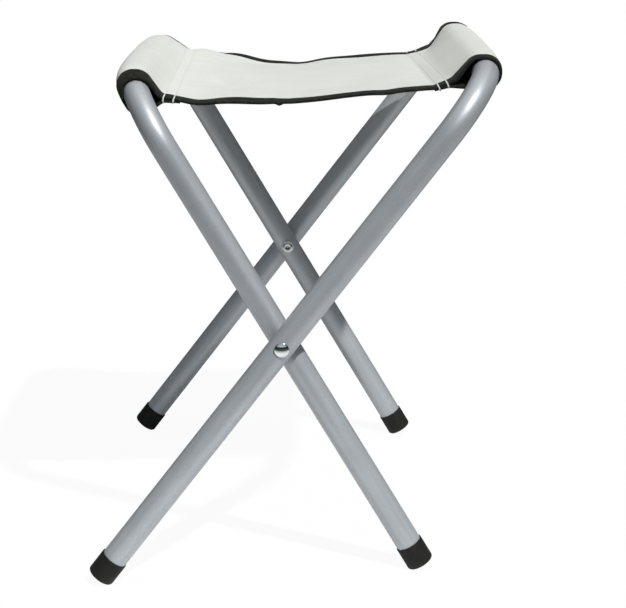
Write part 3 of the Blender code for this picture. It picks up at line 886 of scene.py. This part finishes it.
def thread_tubes(name, lines):
    """Piece of thin round threads, each led along its own points and closed at its ends."""
    vertices, faces, uvs = [], [], []
    for line in map(np.asarray, lines):
        tangent = np.gradient(line, axis=0)
        tangent /= np.linalg.norm(tangent, axis=1, keepdims=True)
        start = len(vertices)
        helper = np.array((0.0, 0.0, 1.0) if abs(tangent[0, 2]) < THREAD_STEEP else (1.0, 0.0, 0.0))
        for point, heading, run in zip(line, tangent, runs_along(line)):
            across = np.cross(heading, helper)
            across /= np.linalg.norm(across)
            helper = np.cross(across, heading)
            for k in range(THREAD_SIDES):
                turn = math.tau * k / THREAD_SIDES
                vertices.append(point + THREAD_R * (math.cos(turn) * across + math.sin(turn) * helper))
                uvs.append((run, k / THREAD_SIDES))
        faces += grid_faces(len(line), THREAD_SIDES, close_columns=True, start=start)
        last = len(vertices) - THREAD_SIDES
        faces += [range(start, start + THREAD_SIDES)[::-1], range(last, last + THREAD_SIDES)]
    return add_piece(name, face_out(mesh_from(name, vertices, faces, uvs)), THREAD)


def run_of_stitches(track, facing):
    """Stitches along a track on the cloth's middle, each out of its face, along it and back in."""
    runs = runs_along(track)
    count = int((runs[-1] - 2 * BIND_W) / STITCH_PITCH)
    begin = (runs[-1] - count * STITCH_PITCH) / 2

    def at(run, values):
        return np.array([np.interp(run, runs, values[:, k]) for k in range(3)])

    lines = []
    for k in range(count):
        a = begin + STITCH_PITCH * (k + (1 - STITCH_SHARE) / 2)
        b = a + STITCH_PITCH * STITCH_SHARE
        na, nb = at(a, facing), at(b, facing)
        start, end = at(a, track) + na * CLOTH_T / 2, at(b, track) + nb * CLOTH_T / 2
        lines.append([start + (end - start) * share + (na + (nb - na) * share) * height * THREAD_R
                      for share, height in STITCH_LINE])
    return lines


def edge_bars(grid, side):
    """Bars of doubled thread sewn over the bound edges of a sleeve, one at the end of each seam."""
    reaches, raised = reaches_from(grid, side), grid + BAR_LIFT * grid_normals(grid)
    lines = []
    for order in (edge_order(-1), edge_order(1)):
        for seam in side["rows"]:
            for place in (seam[order[0]] - BAR_STEP / 2, seam[order[0]] + BAR_STEP / 2):
                over, under = ([at_reach(raised, reaches, layer, row, reach) for row in reversed(order)]
                               for layer, reach in zip(side["layers"], (place, place - BAR_SLANT)))
                noses = []
                for layer, share in zip(side["layers"], BAR_NOSES):
                    edge, inside = (at_reach(grid, reaches, layer, row, place - share * BAR_SLANT)
                                    for row in order[:2])
                    noses.append(edge + (edge - inside) / np.linalg.norm(edge - inside) * BAR_LIFT)
                lines.append(over + noses + under[::-1])
    return lines


def seam_lines(grid, rows, side):
    """Stitches of a sleeve's seams on both its layers, and the bars of thread over its bound edges."""
    normal, reaches = grid_normals(grid), reaches_from(grid, side)
    lines = []
    for seam in side["rows"]:
        for layer in side["layers"]:
            track, facing = (np.array([at_reach(values, reaches, layer, j, between(seam, y))
                                       for j, y in enumerate(rows)]) for values in (grid, normal))
            lines += run_of_stitches(track, facing)
    return lines + edge_bars(grid, side)


# Stage
def build_floor():
    corners = [(x * FLOOR_HALF, y * FLOOR_HALF, 0.0) for x, y in ((-1, -1), (1, -1), (1, 1), (-1, 1))]
    floor = add_piece("floor", mesh_from("floor", corners, [(0, 1, 2, 3)]), floor_white())


def build_world():
    """Room that is dim at eye level under a broad bright ceiling, with a pale opening in front, and plain
    white to the camera."""
    world = bpy.data.worlds.new("studio")
    bpy.context.scene.world = world
    world.use_nodes = True
    tree = world.node_tree
    _, behind, height = parts(tree, node(tree, "TexCoord", out=0))
    ahead = math_node(tree, "MULTIPLY", behind, -1.0)
    opening = math_node(tree, "MULTIPLY", ramp(tree, ahead, (0.50, grey(0.0)), (0.75, grey(1.0))),
                        ramp(tree, height, (0.30, grey(0.0)), (0.38, grey(1.0))))
    room = ramp(tree, height, (0.0, (0.020, 0.023, 0.026)), (0.25, (0.030, 0.035, 0.039)),
                (0.38, (0.090, 0.102, 0.111)), (0.6, (0.144, 0.156, 0.165)),
                (0.8, (0.336, 0.348, 0.356)), (1.0, grey(0.98)))
    room = node(tree, "MixRGB", opening, room, (0.45, 0.54, 0.61, 1.0))
    path = tree.nodes.new("ShaderNodeLightPath")
    seen = node(tree, "MixRGB", path.outputs["Is Camera Ray"], room, WHITE)
    tree.links.new(seen, tree.nodes["Background"].inputs["Color"])


def build_key():
    """Sun from the front, the right and above."""
    lamp = bpy.data.lights.new("key", "SUN")
    lamp.energy = SUN_ENERGY
    lamp.angle = math.radians(SUN_SPREAD)
    key = bpy.data.objects.new("key", lamp)
    key.rotation_euler = Vector(SUN_WAY).to_track_quat("-Z", "Y").to_euler()
    bpy.context.scene.collection.objects.link(key)


def build_camera():
    """Camera at the photograph's place."""
    yaw, pitch, roll = (math.radians(a) for a in CAMERA_TURN)
    forward = Vector((math.sin(yaw) * math.cos(pitch), math.cos(yaw) * math.cos(pitch), -math.sin(pitch)))
    right = Vector((math.cos(yaw), -math.sin(yaw), 0.0))
    up = right.cross(forward)
    across = math.cos(roll) * right + math.sin(roll) * up
    upright = -math.sin(roll) * right + math.cos(roll) * up
    lens = bpy.data.cameras.new("camera")
    lens.sensor_width = SENSOR
    lens.sensor_fit = "HORIZONTAL"
    lens.lens = SENSOR * FOCAL_PIXELS / PHOTO_WIDTH
    lens.shift_x, lens.shift_y = CAMERA_SHIFT
    camera = bpy.data.objects.new("camera", lens)
    place = Matrix((across, upright, -forward)).transposed().to_4x4()
    place.translation = CAMERA_PLACE
    camera.matrix_world = place
    bpy.context.scene.collection.objects.link(camera)
    bpy.context.scene.camera = camera


# Pieces
outer_tube = bent_tube("outer_frame_tube", OUTER)
inner_tube = bent_tube("inner_frame_tube", INNER)
for piece, side, cad in ((outer_tube, OUTER, "outer_tube"), (inner_tube, INNER, "inner_tube")):
    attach(piece, side["body"])
    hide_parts(cad)

for end, where in ((-1, "front"), (1, "rear")):
    for side, kind in ((OUTER, "outer"), (INNER, "inner")):
        cap = foot_cap(f"{kind}_cap_{where}", side, end)
        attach(cap, side["body"])
        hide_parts(f"{kind}_foot_{where}")
    pin = rivet(f"pivot_rivet_{where}", end)
    spacer = ring(f"pivot_spacer_{where}", SPACER_R, SPACER_T, NYLON, end, OUTER)
    washer = ring(f"pivot_washer_{where}", WASHER_R, WASHER_T, ZINC, end, INNER)
    for piece, cad, slot in (
        (pin, f"rivet_{where}", "zinc_plated_steel"),
        (spacer, f"spacer_{where}", "nylon"),
        (washer, f"tail_washer_{where}", "zinc_plated_steel"),
    ):
        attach(piece, "outer_frame")
        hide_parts(cad)

grid, row_y = cloth_grid()
grid = sew(wrinkle(settle(grid)), row_y)
first_seam, second_seam = (seam_runs(grid, row_y, seam) for seam in INNER["rows"])
CANVAS = canvas_weave((0.0, float((second_seam - first_seam).mean())))
canvas = add_piece("seat_canvas", sheet_mesh("seat_canvas", grid, first_seam), CANVAS, CLOTH_CREASE)
binding_front, binding_rear = (
    add_piece(name, tape_mesh(name, grid, end), TAPE, CLOTH_CREASE)
    for name, end in (("edge_binding_front", -1), ("edge_binding_rear", 1)))
inner_seams = thread_tubes("inner_seam_thread", seam_lines(grid, row_y, INNER))
outer_seams = thread_tubes("outer_seam_thread", seam_lines(grid, row_y, OUTER))

for piece in (canvas, binding_front, binding_rear):
    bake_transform(piece)
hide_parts("seat_panel", "outer_sleeve", "inner_sleeve")
for piece, where in ((binding_front, "front"), (binding_rear, "rear")):
    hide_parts(*(f"{part}_binding_{where}" for part in ("panel", "outer_sleeve", "inner_sleeve")))
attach(inner_seams, "inner_frame")
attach(outer_seams, "outer_frame")

build_floor()
build_world()
build_key()
build_camera()
bpy.context.scene.view_settings.view_transform = "Standard"
